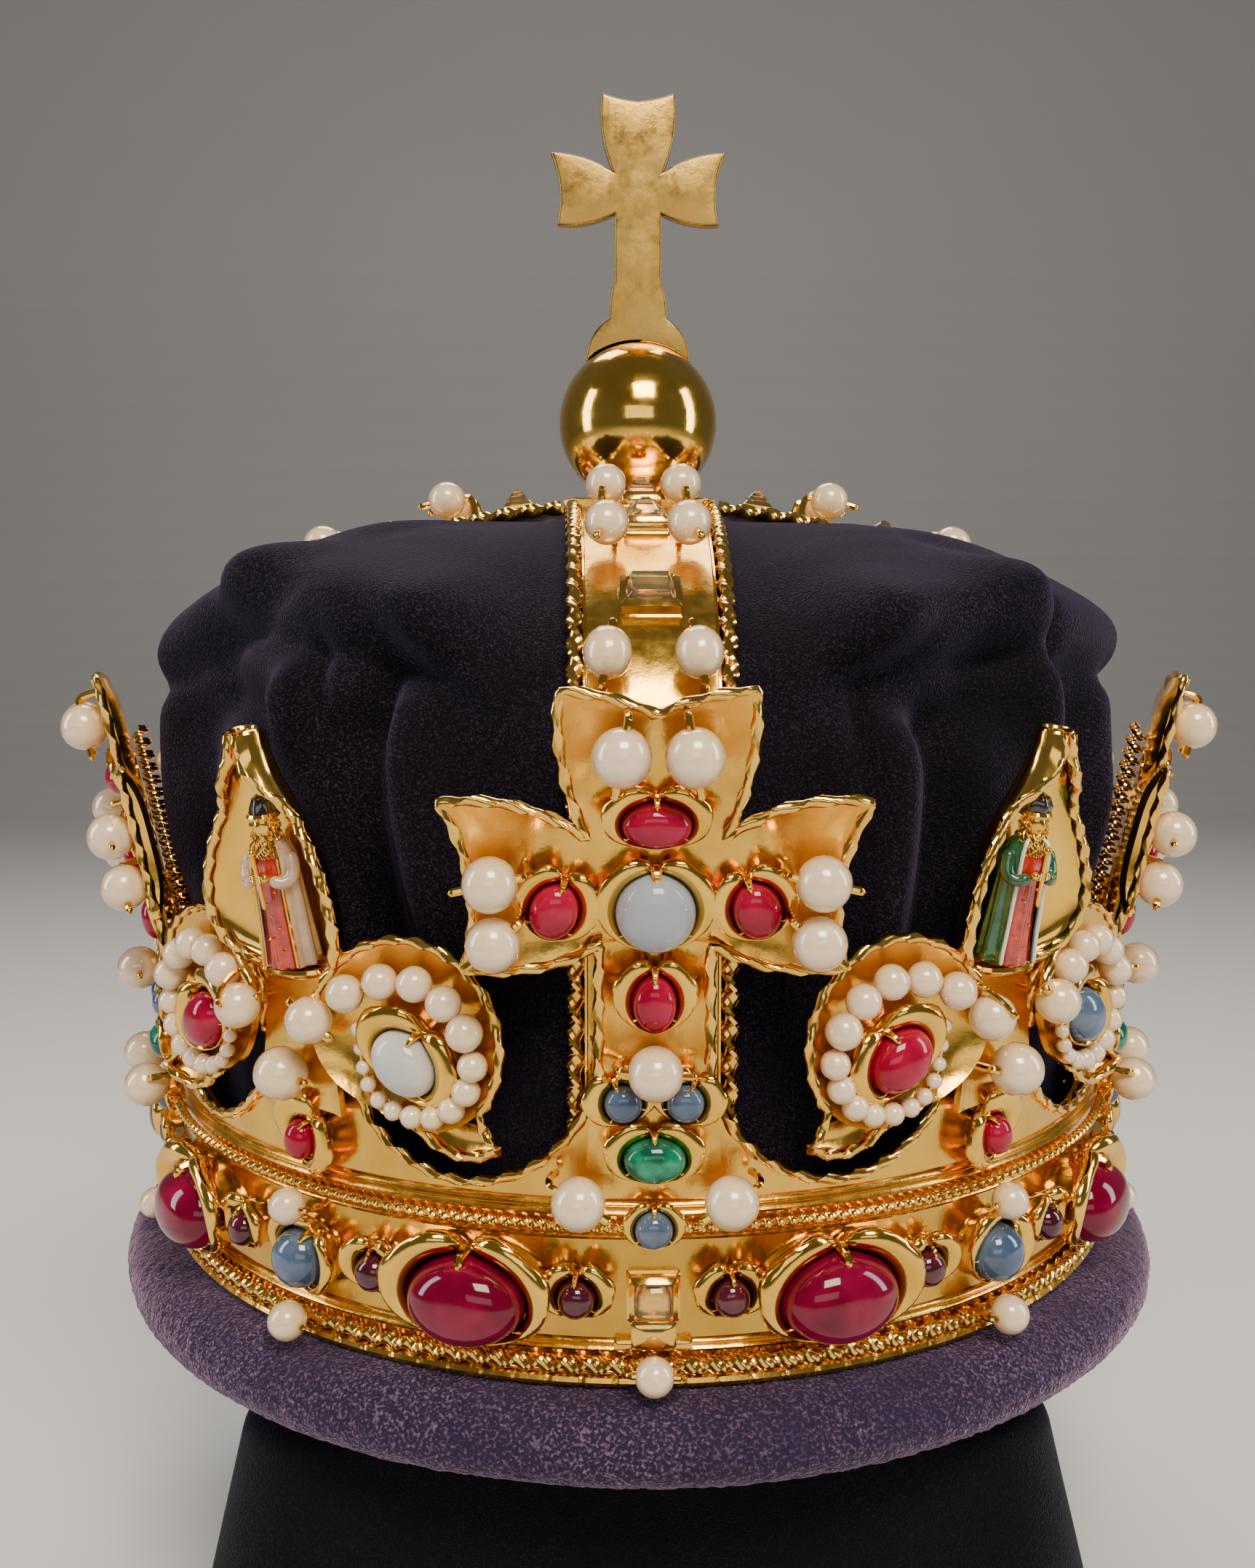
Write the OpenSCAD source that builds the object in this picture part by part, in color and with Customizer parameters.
// An arched crown of ten ornaments on a velvet-covered plinth.
// Front is -Y, up is +Z, and the underside of the plinth lies on z = 0.
// Every length is in millimetres, every angle in degrees.

/* [Plinth] */
// width of the plinth top from left to right
plinth_width = 136; // [120:1:150]
// depth of the plinth top from front to back
plinth_depth = 160; // [145:1:175]
// height of the plinth
plinth_height = 64; // [40:1:90]
// how far each side spreads for each millimetre going down
plinth_flare = 0.214; // [0:0.01:0.3]
// rounding of the four upright corners
plinth_corner = 12; // [4:1:20]

/* [Velvet roll] */
// largest radius of the padded roll under the band
roll_radius = 105; // [102:0.5:112]
// radius of the hole in the roll
roll_bore = 81; // [72:0.5:84]
// height of the roll
roll_height = 15; // [12:0.5:20]

/* [Circlet] */
// outer radius of the plain band
band_radius = 93.4; // [91:0.1:96]
// thickness of the band and of the cresting
band_wall = 1.4; // [1:0.1:1.8]
// height of the band up to its upper rope
band_height = 25; // [22:0.5:28]
// radius of the round edge wires and of the ropes
edge_wire = 1.3; // [1:0.05:1.5]
// height where the stems of the cresting end
crest_height = 50; // [46:0.5:54]
// radius of the round gaps in the cresting
scallop_radius = 21; // [19:0.25:22]
// lowest level of the gaps in the cresting
scallop_low = 30.5; // [29.5:0.25:33]

/* [Crosses] */
// width over the two side arms
cross_span = 61; // [56:0.5:66]
// height from the foot of the cross to its upper tips
cross_rise = 76; // [72:0.5:80]
// thickness of the cross plates
cross_plate = 1.3; // [1:0.1:1.6]
// outward lean of crosses and leaves
lean = 12; // [8:0.5:15]
// raised edge around each cross
rim_height = 1.3; // [0.8:0.1:1.8]
// width of that rim
rim_width = 1.6; // [1.2:0.1:1.8]

/* [Leaf ornaments] */
// width of the leaf-shaped niche
leaf_width = 28; // [25:0.5:30]
// height of the leaf-shaped niche
leaf_rise = 40; // [37:0.5:43]
// depth of the niche
leaf_depth = 6.5; // [5.5:0.25:7.5]
// sheet thickness of the niche
leaf_sheet = 1.2; // [1:0.1:1.6]
// radius of the two side scrolls
scroll_radius = 15; // [14:0.25:15.5]
// height of the small figure in each niche
figure_height = 25; // [23:0.5:27]

/* [Arches] */
// width of an arch at the crossing
arch_width_top = 30; // [28:0.5:31]
// width of an arch at its foot
arch_width_foot = 26.4; // [25:0.1:28]
// thickness of the arch strap
arch_strap = 1.2; // [1:0.1:1.6]
// thickness of the edge ropes of the arches
arch_rope = 2.6; // [2.2:0.1:3]
// level where the upright legs start to curve
arch_spring = 94; // [88:0.5:98]
// rise of the curve above that level
arch_rise = 47; // [43:0.5:50]

/* [Orb and top cross] */
// radius of the orb
orb_radius = 16.2; // [15:0.1:17]
// height of the top cross above the orb
finial_height = 49; // [44:0.5:54]
// width of the top cross
finial_span = 35.4; // [32:0.2:39]
// thickness of the top cross
finial_plate = 2.4; // [2:0.1:3.2]

/* [Cap] */
// thickness of the velvet cap
cap_cloth = 1.8; // [1.2:0.1:2.4]
// how far the cap swells past the arches
cap_swell = 6.6; // [5:0.1:7]
// depth of the pleats
cap_pleat = 3.2; // [1:0.1:3.6]

/* [Stones] */
// radius of the large pearls on the crosses
pearl_large = 4.0; // [3.7:0.05:4.1]
// radius of the pearls on the arches
pearl_arch = 3.7; // [3.4:0.05:3.9]
// radius of the small pearls on the band
pearl_small = 3.0; // [2.6:0.05:3.1]
// radius of the first pearl of each scroll
pearl_scroll = 3.0; // [2.7:0.05:3.1]
// half length of the large oval stones on the band
band_stone = 9.6; // [8.5:0.1:10]
// radius of the stone in the middle of each cross
centre_stone = 5.8; // [5.2:0.1:6.1]

/* [Hidden] */
$fn = 48;

// small gap kept between pieces that are not soldered together
gap = 0.25;
// overlap that makes soldered pieces one solid
fuse = 0.4;
// thickness of the floor under a stone of a cross or leaf
cup_floor = 0.8;
// wall and height of the collets of the crosses and of the scrolls
cross_collet = [1, 2.4];
scroll_collet = [1.1, 2.6];
// number of crosses, and of leaves between them
ring_count = 5;
ring_step = 360 / ring_count;
leaf_turn = ring_step / 2;

band_inner = band_radius - band_wall;
// middle and half width of the roll's section
roll_mid = (roll_radius + roll_bore) / 2;
roll_half = (roll_radius - roll_bore) / 2;
// how far the foot ring of the band stands out
foot_ring = 0.8;
// the band rests on the roll where the roll is highest under it
seat_radius = min(band_radius + foot_ring, max(band_inner, roll_mid));
seat_share = (seat_radius - roll_mid) / roll_half;
seat_height = roll_height / 2 * (1 + sqrt(max(0, 1 - seat_share * seat_share)));
crown_z = plinth_height + seat_height + 2 * gap;
// level where crosses and leaves start to lean outward
bend_z = 60;
// how far an arch reaches from the middle, so that its foot fits inside the band
arch_reach = sqrt(pow(band_inner - gap, 2) - pow(arch_width_foot / 2, 2));

gold = [0.86, 0.64, 0.24];
velvet = [0.20, 0.14, 0.30];
black_velvet = [0.06, 0.06, 0.07];
pearl_white = [0.93, 0.89, 0.80];
ruby_red = [0.70, 0.05, 0.22];
sapphire_blue = [0.25, 0.33, 0.48];
moon_white = [0.75, 0.78, 0.84];
emerald_green = [0.05, 0.38, 0.22];
garnet_dark = [0.16, 0.03, 0.05];

// smooth step from 0 to 1
function ease(t) = let (c = min(1, max(0, t))) c * c * (3 - 2 * c);
function mix(a, b, t) = a + (b - a) * t;
// angle difference wrapped to -180..180
function turn(a) = a - 360 * floor((a + 180) / 360);

// points of a curved edge from p to q, pushed sideways by bow
function edge(p, q, bow, count) = [
  for (i = [0 : count - 1])
    let (t = i / count, d = q - p, n = [-d[1], d[0]] / norm(d))
    p + d * t + n * bow * 4 * t * (1 - t)
];

// outline moved inward by a distance, for outlines listed clockwise
function inset(pts, dist) = [
  for (i = [0 : len(pts) - 1])
    let (
      a = pts[(i + len(pts) - 1) % len(pts)],
      b = pts[i],
      c = pts[(i + 1) % len(pts)],
      u = (b - a) / norm(b - a),
      w = (c - b) / norm(c - b),
      m = [u[1] + w[1], -u[0] - w[0]],
      k = max(0.9, m * m / 2)
    )
    b + m * dist / k
];

// place on the front of the band: turned by az, at level z, local +Z outward
module on_band(az, z, out) {
  rotate([0, 0, az])
    translate([0, -band_radius - out, crown_z + z])
      rotate([90, 0, 0])
        children();
}

// place on a leaning ornament: x to the side, level z, local +Z outward
module on_lean(az, x, z, out) {
  rotate([0, 0, az])
    translate([0, -band_radius - gap - cross_plate, crown_z + bend_z])
      rotate([90 + (z > bend_z ? lean : 0), 0, 0])
        translate([x, (z - bend_z) / (z > bend_z ? cos(lean) : 1), out])
          children();
}

// smooth domed stone, half axes a and b, resting on its lowest point
module cabochon(a, b, h) {
  translate([0, 0, h / 2])
    scale([a, b, h / 2])
      sphere(r = 1);
}

// upright round or oval block with half axes a and b
module oval_block(a, b, tall) {
  count = 24;
  if (a == b)
    cylinder(r = a, h = tall);
  else
    linear_extrude(tall)
      polygon([for (i = [0 : count - 1]) [a * cos(i * 360 / count), b * sin(i * 360 / count)]]);
}

// cup that holds a domed stone: a low wall around a floor, rooted in the metal behind it
module collet(a, b, wall, tall, floor_up, root) {
  difference() {
    translate([0, 0, -root])
      oval_block(a + wall, b + wall, tall + root);
    translate([0, 0, floor_up])
      oval_block(a + gap, b + gap, tall);
  }
}

// Plinth

// rounded rectangle of half sizes a and b
function soft_box(a, b, r, steps) = [
  for (q = [0 : 3], i = [0 : steps])
    let (
      sx = (q == 0 || q == 3) ? 1 : -1,
      sy = q < 2 ? 1 : -1,
      ang = q * 90 + i * 90 / steps
    )
    [sx * (a - r) + r * cos(ang), sy * (b - r) + r * sin(ang)]
];

module plinth() {
  steps = 6;
  grow = plinth_flare * plinth_height;
  top = soft_box(plinth_width / 2, plinth_depth / 2, plinth_corner, steps);
  foot = soft_box(plinth_width / 2 + grow, plinth_depth / 2 + grow, plinth_corner + grow / 2, steps);
  n = len(top);
  color(black_velvet)
    polyhedron(
      points = concat([for (p = foot) [p[0], p[1], 0]], [for (p = top) [p[0], p[1], plinth_height]]),
      faces = concat(
        [[for (i = [0 : n - 1]) i]],
        [[for (i = [n - 1 : -1 : 0]) n + i]],
        [for (i = [0 : n - 1]) [i, n + i, (i + 1) % n]],
        [for (i = [0 : n - 1]) [n + i, n + (i + 1) % n, (i + 1) % n]]
      )
    );
}

// Velvet roll

module roll() {
  steps = 20;
  color(velvet)
    translate([0, 0, plinth_height + gap + roll_height / 2])
      rotate_extrude()
        polygon([
          for (i = [0 : steps - 1])
            let (a = i * 360 / steps)
            [roll_mid + roll_half * cos(a), roll_height / 2 * sin(a)]
        ]);
}

// Velvet cap

// pleats: azimuth, half width in degrees, share of the pleat depth
pleats = [
  [-68, 9, 0.7], [-52, 10, -1.0], [-38, 7, 0.8], [-24, 8, -0.6],
  [24, 8, -0.8], [38, 9, 0.6], [52, 8, -0.7], [66, 9, 0.9],
  [112, 9, -0.8], [128, 8, 0.8], [143, 9, -0.9], [158, 8, 0.5],
  [-113, 9, 0.8], [-129, 8, -0.9], [-146, 9, 0.6], [-160, 7, -0.5]
];

cap_foot = arch_reach - arch_rope - 2 * gap;

// 0 under an arch, 1 well clear of it, for an azimuth and a rough radius
function clear_of_arch(az, r) =
  let (side = abs(turn(az) - 90 * round(turn(az) / 90)))
  ease((r * sin(side) - arch_width_top / 2 - 1) / 22);

// sum of the pleats at an azimuth
function pleat_at(az) = [
  for (p = pleats)
    let (d = turn(az - p[0]) / p[1])
    p[2] * exp(-d * d)
] * [for (p = pleats) 1];

// a point of the cap's skin: share t of the way from hem to crown, depth inside the cloth
function cap_point(az, t, inside) =
  let (
    hem = 3,
    wall_share = 0.42,
    ang = 90 * max(0, t - wall_share) / (1 - wall_share),
    open = clear_of_arch(az, cap_foot * cos(ang)),
    reach = cap_foot + cap_swell * open + cap_pleat * 0.5 * pleat_at(az) * open,
    power = mix(2, 2.7, open),
    top = arch_rise - arch_rope - 2 * gap + cap_swell * 0.45 * open,
    s = t / wall_share,
    up = mix(hem, arch_spring, s),
    belly = mix(cap_foot, reach, ease((s - 0.42) / 0.54)),
    r = t < wall_share ? belly : reach * pow(cos(ang), 2 / power),
    z = t < wall_share ? up : arch_spring + top * pow(sin(ang), 2 / power)
  )
  [
    max(0, r - inside * (t < wall_share ? 1 : cos(ang))) * sin(az),
    -max(0, r - inside * (t < wall_share ? 1 : cos(ang))) * cos(az),
    crown_z + z - (t < wall_share ? 0 : inside * sin(ang))
  ];

module cap() {
  cols = 72;
  rows = 15;
  rings = [for (j = [0 : rows - 1]) j / rows];
  outer = [for (t = rings, i = [0 : cols - 1]) cap_point(i * 360 / cols, t, 0)];
  inner = [for (t = rings, i = [0 : cols - 1]) cap_point(i * 360 / cols, t, cap_cloth)];
  n = rows * cols;
  tip = crown_z + arch_spring + arch_rise - arch_rope - 2 * gap;
  color(velvet)
    polyhedron(
      points = concat(outer, inner, [[0, 0, tip], [0, 0, tip - cap_cloth]]),
      faces = concat(
        [for (j = [0 : rows - 2], i = [0 : cols - 1]) let (k = (i + 1) % cols)
          [j * cols + i, (j + 1) * cols + i, (j + 1) * cols + k]],
        [for (j = [0 : rows - 2], i = [0 : cols - 1]) let (k = (i + 1) % cols)
          [j * cols + i, (j + 1) * cols + k, j * cols + k]],
        [for (j = [0 : rows - 2], i = [0 : cols - 1]) let (k = (i + 1) % cols)
          [n + j * cols + i, n + (j + 1) * cols + k, n + (j + 1) * cols + i]],
        [for (j = [0 : rows - 2], i = [0 : cols - 1]) let (k = (i + 1) % cols)
          [n + j * cols + i, n + j * cols + k, n + (j + 1) * cols + k]],
        [for (i = [0 : cols - 1]) let (k = (i + 1) % cols) [i, k, n + k]],
        [for (i = [0 : cols - 1]) let (k = (i + 1) % cols) [i, n + k, n + i]],
        [for (i = [0 : cols - 1]) let (j = (rows - 1) * cols, k = (i + 1) % cols)
          [j + i, 2 * n, j + k]],
        [for (i = [0 : cols - 1]) let (j = n + (rows - 1) * cols, k = (i + 1) % cols)
          [j + i, j + k, 2 * n + 1]]
      )
    );
}

// Circlet

// azimuths of the stones in one fifth of the band
ruby_turn = 17;
// how deep the cups are rooted in the band
band_root = band_wall - 0.3;
garnet_turns = [7, 27, 45, 65];
// half sizes of the other stones of the band
garnet_stone = 3;
sapphire_stone = 4.8;
leaf_ruby = [2.7, 3.4];
leaf_ruby_z = 33.6;
// width, height and depth of the box that holds each table-cut stone
table_box = [7.2, 9.2, 3];
// levels of the rows of stones on the band
ruby_z = band_height / 2 + 0.8;
sapphire_z = band_height / 2 + 1;
garnet_z = band_height / 2 + 1.8;
// a large oval stone is this much lower than it is long
oval_share = 0.73;

module band_profile() {
  polygon([
    [band_inner, 0],
    [band_radius + foot_ring, 0],
    [band_radius + foot_ring, 0.6],
    [band_radius, 1.2],
    [band_radius, band_height + 1],
    [band_radius + 1.2, band_height + 1.8],
    [band_radius + 1.2, band_height + 2.6],
    [band_radius + 0.5, band_height + 3.1],
    [band_radius, band_height + 3.6],
    [band_radius, crest_height],
    [band_inner, crest_height]
  ]);
}

module circlet() {
  cut_z = scallop_low + scallop_radius;
  color(gold) {
    difference() {
      translate([0, 0, crown_z])
        rotate_extrude()
          band_profile();
      for (k = [0 : 2 * ring_count - 1])
        rotate([0, 0, leaf_turn * (k + 0.5)])
          translate([0, 0, crown_z + cut_z])
            rotate([90, 0, 0])
              translate([0, 0, band_inner - scallop_radius / 4])
                cylinder(r = scallop_radius, h = band_wall + scallop_radius / 2);
    }
    for (k = [0 : ring_count - 1]) {
      for (side = [-1, 1])
        on_band(k * ring_step + side * ruby_turn, ruby_z, 0)
          collet(band_stone, band_stone * oval_share, 1.1, 2.2, 0.9, band_root);
      for (az = garnet_turns)
        on_band(k * ring_step + az, garnet_z, 0)
          collet(garnet_stone, garnet_stone, 0.9, 2.4, 0.8, band_root);
      on_band(k * ring_step + leaf_turn, sapphire_z, 0)
        collet(sapphire_stone, sapphire_stone, 1, 2.4, 0.9, band_root);
      on_band(k * ring_step + leaf_turn, leaf_ruby_z, 0)
        collet(leaf_ruby[0], leaf_ruby[1], 0.8, 2.2, 0.8, band_root);
      on_band(k * ring_step, band_height / 2 + 1.2, 0)
        translate([-table_box[0] / 2, -table_box[1] / 2, -band_root])
          cube([table_box[0], table_box[1], table_box[2] + band_root]);
      on_band(k * ring_step, band_height / 2 + 2.4, table_box[2] - fuse)
        rotate([0, 0, 45])
          cylinder(r1 = table_box[0] * 0.54, r2 = table_box[0] * 0.31, h = 1.6 + fuse, $fn = 4);
    }
  }
}

module lower_rope() {
  color(gold)
    translate([0, 0, crown_z + 1.2 + gap + edge_wire * 1.4])
      rotate_extrude()
        translate([band_radius + gap + edge_wire, 0])
          circle(r = edge_wire);
}

module upper_rope() {
  color(gold)
    translate([0, 0, crown_z + band_height - edge_wire * 0.4])
      rotate_extrude()
        translate([band_radius + gap + edge_wire * 0.8, 0])
          circle(r = edge_wire * 0.8);
}

// Crosses

// right half outline of a cross, from the middle of its top edge down to the foot
// columns: side as a share of half the span, height as a share of the rise,
// bow of the edge that ends at this row as a share of half the span
cross_rows = [
  [0.000, 0.955, 0.000],
  [0.446, 1.000, 0.025],
  [0.320, 0.724, -0.050],
  [1.000, 0.793, -0.070],
  [0.905, 0.466, 0.085],
  [0.266, 0.513, -0.060],
  [0.266, 0.270, 0.000],
  [0.350, 0.000, -0.040]
];
cross_foot = scallop_low;

function cross_side(flip) =
  let (h = cross_span / 2, rows = [for (r = cross_rows) [flip * r[0] * h, r[1] * cross_rise]])
  [
    for (i = [0 : len(rows) - 2])
      each edge(rows[i], rows[i + 1], -flip * cross_rows[i + 1][2] * h, cross_rows[i + 1][2] == 0 ? 1 : 5)
  ];

function cross_outline() =
  let (
    right = cross_side(1),
    left = cross_side(-1),
    last = cross_rows[len(cross_rows) - 1],
    foot = [last[0] * cross_span / 2, 0]
  )
  concat(right, [foot, [-foot[0], 0]], [for (i = [len(left) - 1 : -1 : 1]) left[i]]);

// one half of the flat outline, above or below the bend, shifted so the bend is at 0;
// both halves run a little past the bend, and the lower one is a hair narrower
module cross_half(pts, upper) {
  narrow = upper ? 1 : 0.985;
  intersection() {
    translate([0, cross_foot - bend_z])
      polygon([for (p = pts) [narrow * p[0], p[1]]]);
    translate([-cross_span, upper ? -fuse : fuse - cross_rise])
      square([2 * cross_span, cross_rise]);
  }
}

// folded sheet: the lower half stands upright, the upper half leans outward
module cross_sheet(az, pts, from, tall) {
  rotate([0, 0, az])
    translate([0, -band_radius - gap - cross_plate, crown_z + bend_z]) {
      rotate([90, 0, 0])
        translate([0, 0, from])
          linear_extrude(tall)
            cross_half(pts, false);
      rotate([90 + lean, 0, 0])
        translate([0, 0, from])
          linear_extrude(tall)
            cross_half(pts, true);
    }
}

// length and radius of the pin behind a pearl that stands off the plate
pin_stand = 2;
pin_radius = 0.9;

// pearls of a cross: side as a share of half the span, height as a share of the rise
cross_pearl_rows = [
  [-0.164, 0.893], [0.164, 0.893], [-0.767, 0.655], [0.767, 0.655],
  [-0.761, 0.537], [0.761, 0.537], [0.000, 0.264]
];

// stones of a cross: side as a share of half the span, height as a share of the rise,
// half width, half height and dome as shares of the middle stone
moonstone_rows = [[0.000, 0.580, 1.000, 1.000, 0.793]];
ruby_rows = [
  [0.000, 0.751, 0.862, 0.569, 0.586], [0.000, 0.393, 0.569, 0.793, 0.586],
  [-0.479, 0.583, 0.621, 0.724, 0.621], [0.479, 0.583, 0.621, 0.724, 0.621]
];
emerald_rows = [[0.000, 0.075, 0.810, 0.586, 0.552]];
sapphire_rows = [[-0.151, 0.188, 0.500, 0.500, 0.483], [0.151, 0.188, 0.500, 0.500, 0.483]];

// place on a cross: side and height as shares, local +Z outward
module on_cross(az, row, out) {
  on_lean(az, row[0] * cross_span / 2, cross_foot + row[1] * cross_rise, out)
    children();
}

// stones of one kind on all crosses, each resting in its cup
module cross_gems(rows) {
  for (k = [0 : ring_count - 1], r = rows)
    on_cross(k * ring_step, r, cup_floor + gap)
      cabochon(r[2] * centre_stone, r[3] * centre_stone, r[4] * centre_stone);
}

module cross(az) {
  outline = cross_outline();
  color(gold) {
    cross_sheet(az, outline, -cross_plate, cross_plate);
    difference() {
      cross_sheet(az, outline, -fuse, rim_height + fuse);
      cross_sheet(az, inset(outline, rim_width), -2 * fuse, rim_height + 3 * fuse);
    }
    for (r = concat(moonstone_rows, ruby_rows, emerald_rows, sapphire_rows))
      on_cross(az, r, 0)
        collet(r[2] * centre_stone, r[3] * centre_stone, cross_collet[0], cross_collet[1], cup_floor, fuse);
    for (r = cross_pearl_rows)
      on_cross(az, r, -fuse)
        cylinder(r = pin_radius, h = pin_stand + fuse - gap);
  }
}

module cross_pearls(az) {
  color(pearl_white)
    for (r = cross_pearl_rows)
      on_cross(az, r, pin_stand + pearl_large)
        sphere(r = pearl_large);
}

// Leaf ornaments

// half width of the niche as a share of half its width, at shares of its height
leaf_rows = [
  [0.00, 0.26], [0.08, 0.62], [0.18, 0.88], [0.30, 1.00], [0.42, 0.99],
  [0.54, 0.88], [0.66, 0.70], [0.78, 0.49], [0.90, 0.28], [1.00, 0.17]
];
leaf_foot = 60.6;
// how far the niche is set back behind the plates of the crosses
leaf_recess = 2.4;
// width and lowest level of the plate between the two scrolls
leaf_stem = 19;
// width, height and lift of the block that ties a leaf's niche to its foot
leaf_root = [leaf_stem * 0.4, 4, -1.5];
leaf_low = 39;
// level of the large pearl between the scrolls
leaf_pearl_z = 44.8;
// how far the stem plate and a scroll overlap, and the turn that follows from it
scroll_lap = 2.86;
scroll_turn = asin((scroll_radius + leaf_stem / 2 - scroll_lap) / band_radius);
scroll_z = 50.6;
// half width and half height of the stone in each scroll
scroll_stone = [4.8, 4];

// one point of the niche: row share and width share, side s from -1 to 1, skin 0 back or 1 front
function leaf_point(row, s, skin) =
  let (w = row[1] * leaf_width / 2 - skin * leaf_sheet * 0.4)
  [s * w, row[0] * leaf_rise, leaf_depth * row[1] * pow(abs(s), 2.2) + skin * leaf_sheet];

module leaf_shell(az) {
  cols = 9;
  rows = len(leaf_rows);
  back = [for (r = leaf_rows, i = [0 : cols - 1]) leaf_point(r, 2 * i / (cols - 1) - 1, 0)];
  front = [for (r = leaf_rows, i = [0 : cols - 1]) leaf_point(r, 2 * i / (cols - 1) - 1, 1)];
  n = rows * cols;
  last = (rows - 1) * cols;
  on_lean(az, 0, leaf_foot, -fuse - leaf_recess)
    polyhedron(
      points = concat(back, front),
      faces = concat(
        [for (j = [0 : rows - 2], i = [0 : cols - 2]) let (b = j * cols + i)
          [b, b + 1, b + cols + 1]],
        [for (j = [0 : rows - 2], i = [0 : cols - 2]) let (b = j * cols + i)
          [b, b + cols + 1, b + cols]],
        [for (j = [0 : rows - 2], i = [0 : cols - 2]) let (f = n + j * cols + i)
          [f, f + cols + 1, f + 1]],
        [for (j = [0 : rows - 2], i = [0 : cols - 2]) let (f = n + j * cols + i)
          [f, f + cols, f + cols + 1]],
        [for (i = [0 : cols - 2]) [i, n + i, n + i + 1]],
        [for (i = [0 : cols - 2]) [i, n + i + 1, i + 1]],
        [for (i = [0 : cols - 2]) [last + i, last + i + 1, n + last + i + 1]],
        [for (i = [0 : cols - 2]) [last + i, n + last + i + 1, n + last + i]],
        [for (j = [0 : rows - 2]) [j * cols, (j + 1) * cols, n + (j + 1) * cols]],
        [for (j = [0 : rows - 2]) [j * cols, n + (j + 1) * cols, n + j * cols]],
        [for (j = [0 : rows - 2]) let (b = j * cols + cols - 1) [b, n + b, n + b + cols]],
        [for (j = [0 : rows - 2]) let (b = j * cols + cols - 1) [b, n + b + cols, b + cols]]
      )
    );
}

// round dished scroll with a raised edge, a hooked tail and a cup for its stone
module scroll(az, side) {
  on_band(az + side * scroll_turn, scroll_z, gap) {
    cylinder(r = scroll_radius, h = cross_plate);
    difference() {
      cylinder(r = scroll_radius, h = cross_plate + rim_height);
      translate([0, 0, -1])
        cylinder(r = scroll_radius - rim_width, h = 2 * cross_plate + rim_height);
    }
    linear_extrude(cross_plate)
      polygon([
        [side * scroll_radius * 0.5, -scroll_radius * 0.6],
        [side * scroll_radius * 0.95, -scroll_radius * 0.2],
        [side * scroll_radius * 1.12, -scroll_radius * 0.62],
        [side * scroll_radius * 0.8, -scroll_radius * 0.94]
      ]);
    translate([0, 0, cross_plate])
      collet(scroll_stone[0], scroll_stone[1], scroll_collet[0], scroll_collet[1], cup_floor, fuse);
  }
}

module leaf(az) {
  color(gold) {
    leaf_shell(az);
    on_band(az, leaf_foot, gap)
      translate([-leaf_stem / 2, leaf_low - leaf_foot, 0])
        cube([leaf_stem, leaf_foot - leaf_low + 2, cross_plate]);
    on_band(az, leaf_foot, gap - leaf_recess / 2)
      translate([-leaf_root[0] / 2, leaf_root[2], 0])
        cube([leaf_root[0], leaf_root[1], cross_plate + leaf_recess / 2]);
    for (side = [-1, 1])
      scroll(az, side);
  }
}

// pearls of one scroll: angle from its outer side, distance and size as shares
scroll_pearls = [
  [164, 1.09, 1.16], [136, 0.88, 0.95], [106, 0.80, 0.92], [78, 0.82, 0.90],
  [51, 0.82, 0.90], [24, 0.82, 0.90], [-2, 0.80, 0.80]
];

module leaf_pearls(az) {
  out = gap + cross_plate + rim_height + gap;
  color(pearl_white) {
    for (side = [-1, 1], p = scroll_pearls)
      on_band(az + side * scroll_turn, scroll_z, out + pearl_scroll * p[2])
        translate([side * scroll_radius * p[1] * cos(p[0]), scroll_radius * p[1] * sin(p[0]), 0])
          sphere(r = pearl_scroll * p[2]);
    on_band(az, leaf_pearl_z, 2 * gap + cross_plate + pearl_large)
      sphere(r = pearl_large);
  }
}

// standing robed figure with a broad hat
module figure(az) {
  h = figure_height;
  on_lean(az, 0, leaf_foot + 2.4, leaf_sheet + gap + h * 0.15 - leaf_recess)
    rotate([-90, 0, 0]) {
      color([0.30, 0.10, 0.08])
        cylinder(r1 = h * 0.13, r2 = h * 0.10, h = h * 0.42);
      color([0.62, 0.52, 0.42])
        translate([0, 0, h * 0.4])
          cylinder(r1 = h * 0.135, r2 = h * 0.085, h = h * 0.30);
      color(gold)
        translate([0, 0, h * 0.78])
          sphere(r = h * 0.095);
      color(garnet_dark)
        translate([0, 0, h * 0.84])
          cylinder(r1 = h * 0.11, r2 = h * 0.05, h = h * 0.16);
    }
}

// Arches

arch_foot = 3;

// a point of an arch's quarter ellipse, seen from the side, at a depth below its outer line
function arch_curve(below, ang) =
  [(arch_reach - below) * cos(ang), arch_spring + (arch_rise - below) * sin(ang)];

// side view of an arch layer: how far below the outermost line it starts and ends
module arch_side(from, to) {
  steps = 14;
  polygon(concat(
    [[arch_reach - from, arch_foot]],
    [for (i = [0 : steps]) arch_curve(from, i * 90 / steps)],
    [for (i = [steps : -1 : 0]) arch_curve(to, i * 90 / steps)],
    [[arch_reach - to, arch_foot]]
  ));
}

// plan of a tapering arch, narrowed by a margin on both sides
module arch_plan(margin, start) {
  linear_extrude(2 * (arch_spring + arch_rise))
    polygon([
      [-arch_width_top / 2 + margin, -start],
      [arch_width_top / 2 - margin, -start],
      [arch_width_foot / 2 - margin, -arch_reach - 1],
      [-arch_width_foot / 2 + margin, -arch_reach - 1]
    ]);
}

module arch_layer(from, to) {
  rotate([0, 0, -90])
    rotate([90, 0, 0])
      translate([0, 0, -arch_width_top])
        linear_extrude(2 * arch_width_top)
          arch_side(from, to);
}

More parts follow.
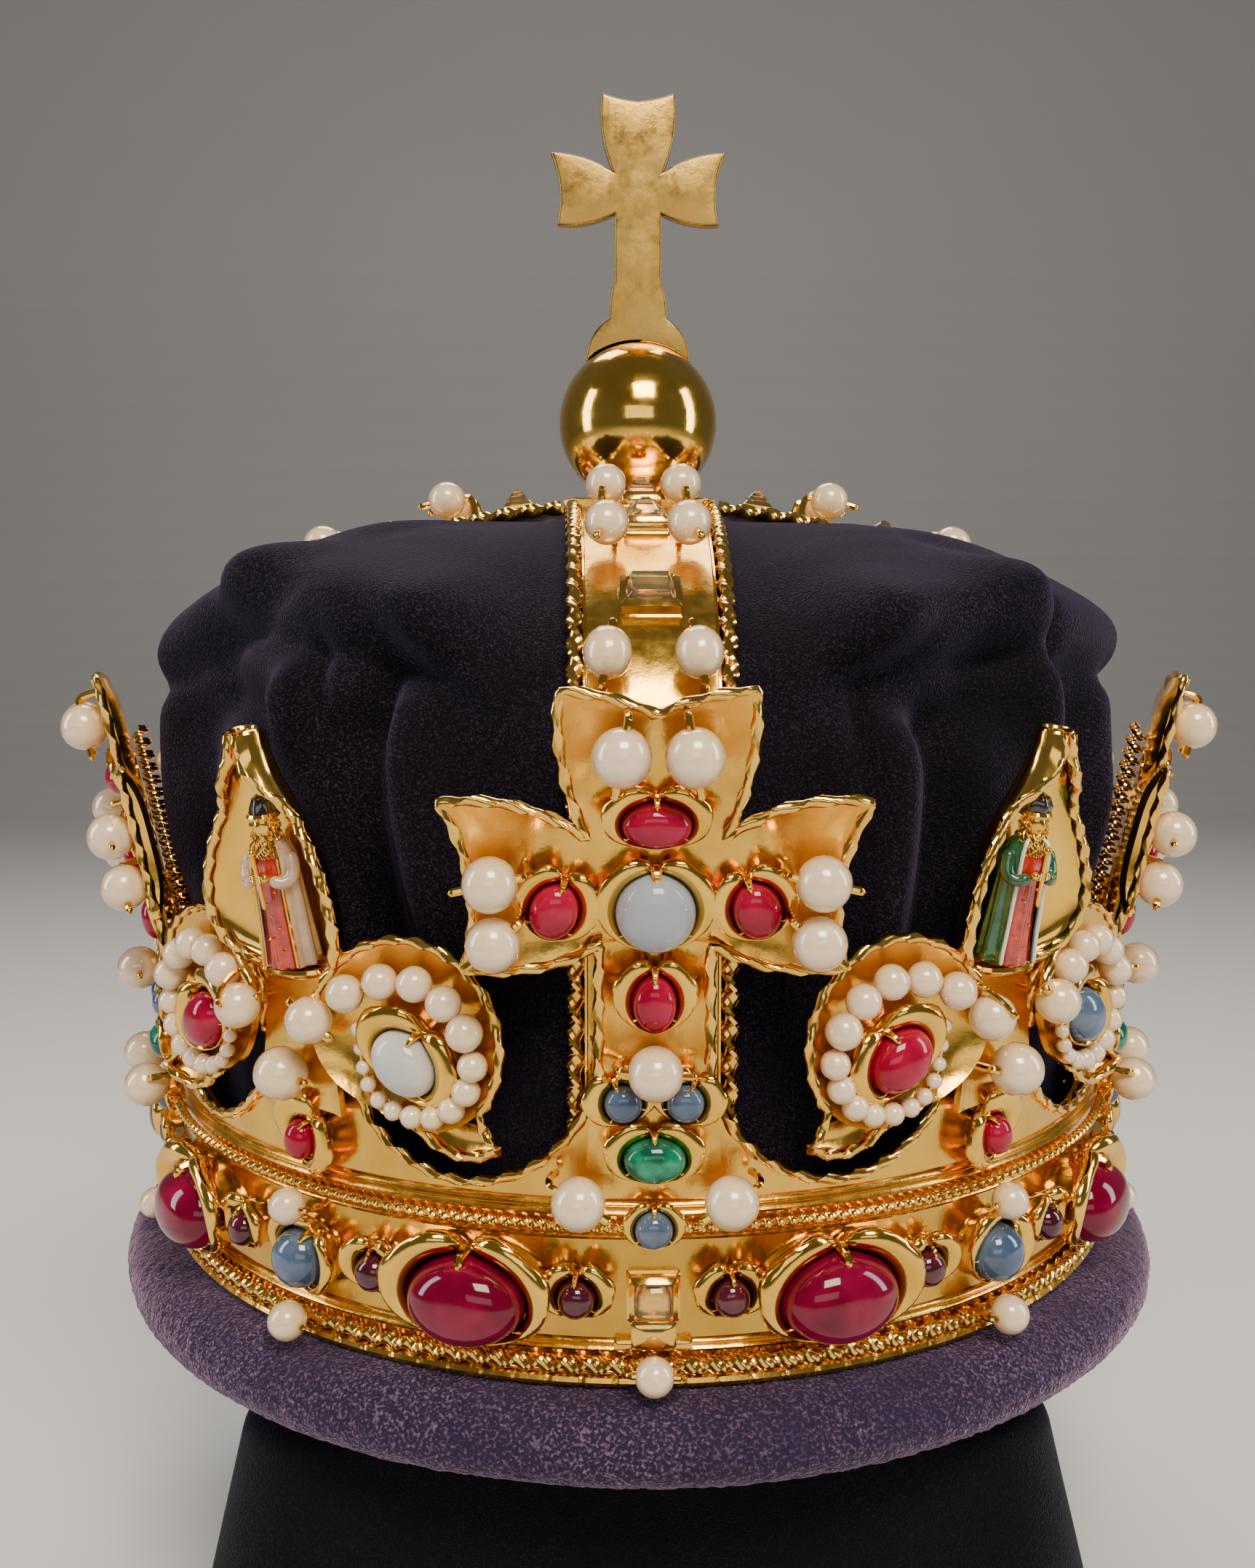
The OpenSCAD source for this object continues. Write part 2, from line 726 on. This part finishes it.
// place on an arch: by the angle of its curve, side x, local +Z outward
module on_arch(az, ang, x, out) {
  r = arch_reach - arch_sunk;
  h = arch_rise - arch_sunk;
  up = ang < 0 ? 0 : ang;
  tilt = atan2(sin(up) / h, cos(up) / r);
  rotate([0, 0, az])
    translate([0, -r * cos(up), crown_z + arch_spring + h * sin(up) + (ang < 0 ? ang : 0)])
      rotate([90 - tilt, 0, 0])
        translate([x, 0, out])
          children();
}

// the strap lies a little below the tops of its edge ropes
arch_sunk = 0.8;
// box-set stones: angle on the curve, half width of the box
arch_boxes = [[74.4, 3.6], [56.4, 4], [33.5, 4.6], [5, 4.2]];
// pearl pairs: angle on the curve, negative values are millimetres below the spring line
arch_pearl_spots = [65.4, 46.8, 18.4, -6];
arch_pin = 1.4;
arch_box_tall = 2.6;
// half the distance between the two pearls of a pair
pair_half = 6.8;

module arch(az) {
  crossing = arch_width_top / 2 + gap;
  color(gold) {
    rotate([0, 0, az])
      translate([0, 0, crown_z]) {
        intersection() {
          arch_layer(arch_sunk, arch_sunk + arch_strap);
          arch_plan(0.2, crossing);
        }
        intersection() {
          arch_layer(0, arch_rope);
          difference() {
            arch_plan(0, crossing);
            translate([0, 0, -1])
              scale([1, 1, 1.1])
                arch_plan(arch_rope, 0);
          }
        }
      }
    for (b = arch_boxes) {
      on_arch(az, b[0], 0, -fuse)
        translate([-b[1], -b[1] * 0.8, 0])
          cube([2 * b[1], 1.6 * b[1], arch_box_tall + fuse]);
      on_arch(az, b[0], 0, arch_box_tall - 0.2)
        scale([1, 0.8, 1])
          rotate([0, 0, 45])
            cylinder(r1 = b[1] * 1.2, r2 = b[1] * 0.25, h = b[1] * 0.75, $fn = 4);
    }
    for (s = arch_pearl_spots, side = [-1, 1])
      on_arch(az, s, side * pair_half, -fuse)
        cylinder(r = pin_radius, h = arch_pin + fuse - gap);
  }
}

module arch_pearls(az) {
  color(pearl_white)
    for (s = arch_pearl_spots, side = [-1, 1])
      on_arch(az, s, side * pair_half, arch_pin + pearl_arch)
        sphere(r = pearl_arch);
}

// Orb and top cross

orb_z = crown_z + arch_spring + arch_rise + orb_radius;

// square plate between the four arches, and the collar that carries the orb
crossing_plate = 2.4;
orb_collar = [6, 3];

module orb() {
  plate = arch_width_top / 2;
  color(gold) {
    translate([0, 0, orb_z])
      sphere(r = orb_radius);
    translate([-plate, -plate, crown_z + arch_spring + arch_rise - arch_rope])
      cube([2 * plate, 2 * plate, crossing_plate]);
    translate([0, 0, crown_z + arch_spring + arch_rise - arch_rope + crossing_plate - 0.3])
      cylinder(r = orb_collar[0], h = orb_collar[1]);
  }
}

// right half outline of the top cross, from the middle of its top edge down to the foot
// columns: side as a share of half the span, height as a share, bow of the edge as a share
finial_rows = [
  [0.000, 0.967, 0.000],
  [0.415, 1.000, 0.015],
  [0.290, 0.690, -0.060],
  [0.998, 0.765, -0.050],
  [0.928, 0.475, 0.070],
  [0.268, 0.520, -0.050],
  [0.268, 0.250, 0.000],
  [0.330, 0.100, -0.020],
  [0.600, -0.090, -0.080]
];

module finial() {
  h = finial_span / 2;
  rows = [for (r = finial_rows) [r[0] * h, r[1] * finial_height]];
  side = [
    for (i = [0 : len(rows) - 2])
      each edge(rows[i], rows[i + 1], -finial_rows[i + 1][2] * h, finial_rows[i + 1][2] == 0 ? 1 : 5)
  ];
  last = rows[len(rows) - 1];
  mirrored = [for (i = [len(side) - 1 : -1 : 1]) [-side[i][0], side[i][1]]];
  color(gold)
    difference() {
      translate([0, finial_plate / 2, orb_z + orb_radius])
        rotate([90, 0, 0])
          linear_extrude(finial_plate)
            polygon(concat(side, [last, [-last[0], last[1]]], mirrored));
      translate([0, 0, orb_z])
        sphere(r = orb_radius + gap);
    }
}

// Stones and pearls of the band

// turn and level of the pearls beside the foot of each cross
flank_turn = 6.4;
flank_z = 31;
// level of the pearls against the lower rope, and how far the upper ones sit below the band's top
low_pearl_z = 3.9;
upper_pearl_drop = 2.1;

module band_pearls() {
  low_out = 2 * gap + 2 * edge_wire + pearl_small;
  upper_out = 2 * gap + 1.6 * edge_wire + pearl_small;
  // the plates of a cross are flat, so beside the middle they stand out farther than the round band
  rim_top = band_radius + 2 * gap + cross_plate + rim_height;
  flank_out = rim_top / cos(flank_turn) - band_radius + pearl_large;
  color(pearl_white)
    for (k = [0 : ring_count - 1]) {
      for (side = [-1, 1])
        on_band(k * ring_step + side * flank_turn, flank_z, flank_out)
          sphere(r = pearl_large);
      for (turn_by = [0, leaf_turn])
        on_band(k * ring_step + turn_by, low_pearl_z, low_out)
          sphere(r = pearl_small);
      on_band(k * ring_step + leaf_turn, band_height - upper_pearl_drop, upper_out)
        sphere(r = pearl_small);
    }
}

// the ten large oval stones, numbered around from the front
module band_stone_at(i) {
  color(ruby_red)
    on_band(floor(i / 2) * ring_step + (i % 2 == 0 ? 1 : -1) * ruby_turn, ruby_z, 0.9 + gap)
      cabochon(band_stone, band_stone * oval_share, band_stone * 0.667);
}

module centre_stones() {
  color(moon_white)
    cross_gems(moonstone_rows);
}

module cross_rubies() {
  color(ruby_red) {
    cross_gems(ruby_rows);
    for (k = [0 : ring_count - 1])
      on_band(k * ring_step + leaf_turn, leaf_ruby_z, cup_floor + gap)
        cabochon(leaf_ruby[0], leaf_ruby[1], leaf_ruby[1] * 0.88);
  }
}

module cross_sapphires() {
  color(sapphire_blue)
    cross_gems(sapphire_rows);
}

module cross_emeralds() {
  color(emerald_green)
    cross_gems(emerald_rows);
}

module band_sapphires() {
  color(sapphire_blue)
    for (k = [0 : ring_count - 1])
      on_band(k * ring_step + leaf_turn, sapphire_z, 0.9 + gap)
        cabochon(sapphire_stone, sapphire_stone, sapphire_stone * 0.96);
}

module garnets() {
  color(garnet_dark)
    for (k = [0 : ring_count - 1], az = garnet_turns)
      on_band(k * ring_step + az, garnet_z, cup_floor + gap)
        cabochon(garnet_stone, garnet_stone, garnet_stone * 0.93);
}

module scroll_stones() {
  color(moon_white)
    for (k = [0 : ring_count - 1], side = [-1, 1])
      on_band(k * ring_step + leaf_turn + side * scroll_turn, scroll_z, gap + cross_plate + cup_floor + gap)
        cabochon(scroll_stone[0], scroll_stone[1], scroll_stone[0] * 0.75);
}

plinth();
roll();
cap();
circlet();
lower_rope();
upper_rope();
cross(0);  // cross_1
cross(ring_step);  // cross_2
cross(2 * ring_step);  // cross_3
cross(3 * ring_step);  // cross_4
cross(4 * ring_step);  // cross_5
leaf(leaf_turn);  // leaf_1
leaf(leaf_turn + ring_step);  // leaf_2
leaf(leaf_turn + 2 * ring_step);  // leaf_3
leaf(leaf_turn + 3 * ring_step);  // leaf_4
leaf(leaf_turn + 4 * ring_step);  // leaf_5
figure(leaf_turn);  // figure_1
figure(leaf_turn + ring_step);  // figure_2
figure(leaf_turn + 2 * ring_step);  // figure_3
figure(leaf_turn + 3 * ring_step);  // figure_4
figure(leaf_turn + 4 * ring_step);  // figure_5
arch(0);  // arch_front
arch(90);  // arch_right
arch(180);  // arch_back
arch(270);  // arch_left
orb();
finial();
cross_pearls(0);  // cross_pearls_1
cross_pearls(ring_step);  // cross_pearls_2
cross_pearls(2 * ring_step);  // cross_pearls_3
cross_pearls(3 * ring_step);  // cross_pearls_4
cross_pearls(4 * ring_step);  // cross_pearls_5
leaf_pearls(leaf_turn);  // leaf_pearls_1
leaf_pearls(leaf_turn + ring_step);  // leaf_pearls_2
leaf_pearls(leaf_turn + 2 * ring_step);  // leaf_pearls_3
leaf_pearls(leaf_turn + 3 * ring_step);  // leaf_pearls_4
leaf_pearls(leaf_turn + 4 * ring_step);  // leaf_pearls_5
arch_pearls(0);  // arch_pearls_front
arch_pearls(90);  // arch_pearls_right
arch_pearls(180);  // arch_pearls_back
arch_pearls(270);  // arch_pearls_left
band_pearls();
band_stone_at(0);  // band_stone_1
band_stone_at(1);  // band_stone_2
band_stone_at(2);  // band_stone_3
band_stone_at(3);  // band_stone_4
band_stone_at(4);  // band_stone_5
band_stone_at(5);  // band_stone_6
band_stone_at(6);  // band_stone_7
band_stone_at(7);  // band_stone_8
band_stone_at(8);  // band_stone_9
band_stone_at(9);  // band_stone_10
centre_stones();
cross_rubies();
cross_sapphires();
cross_emeralds();
band_sapphires();
garnets();
scroll_stones();
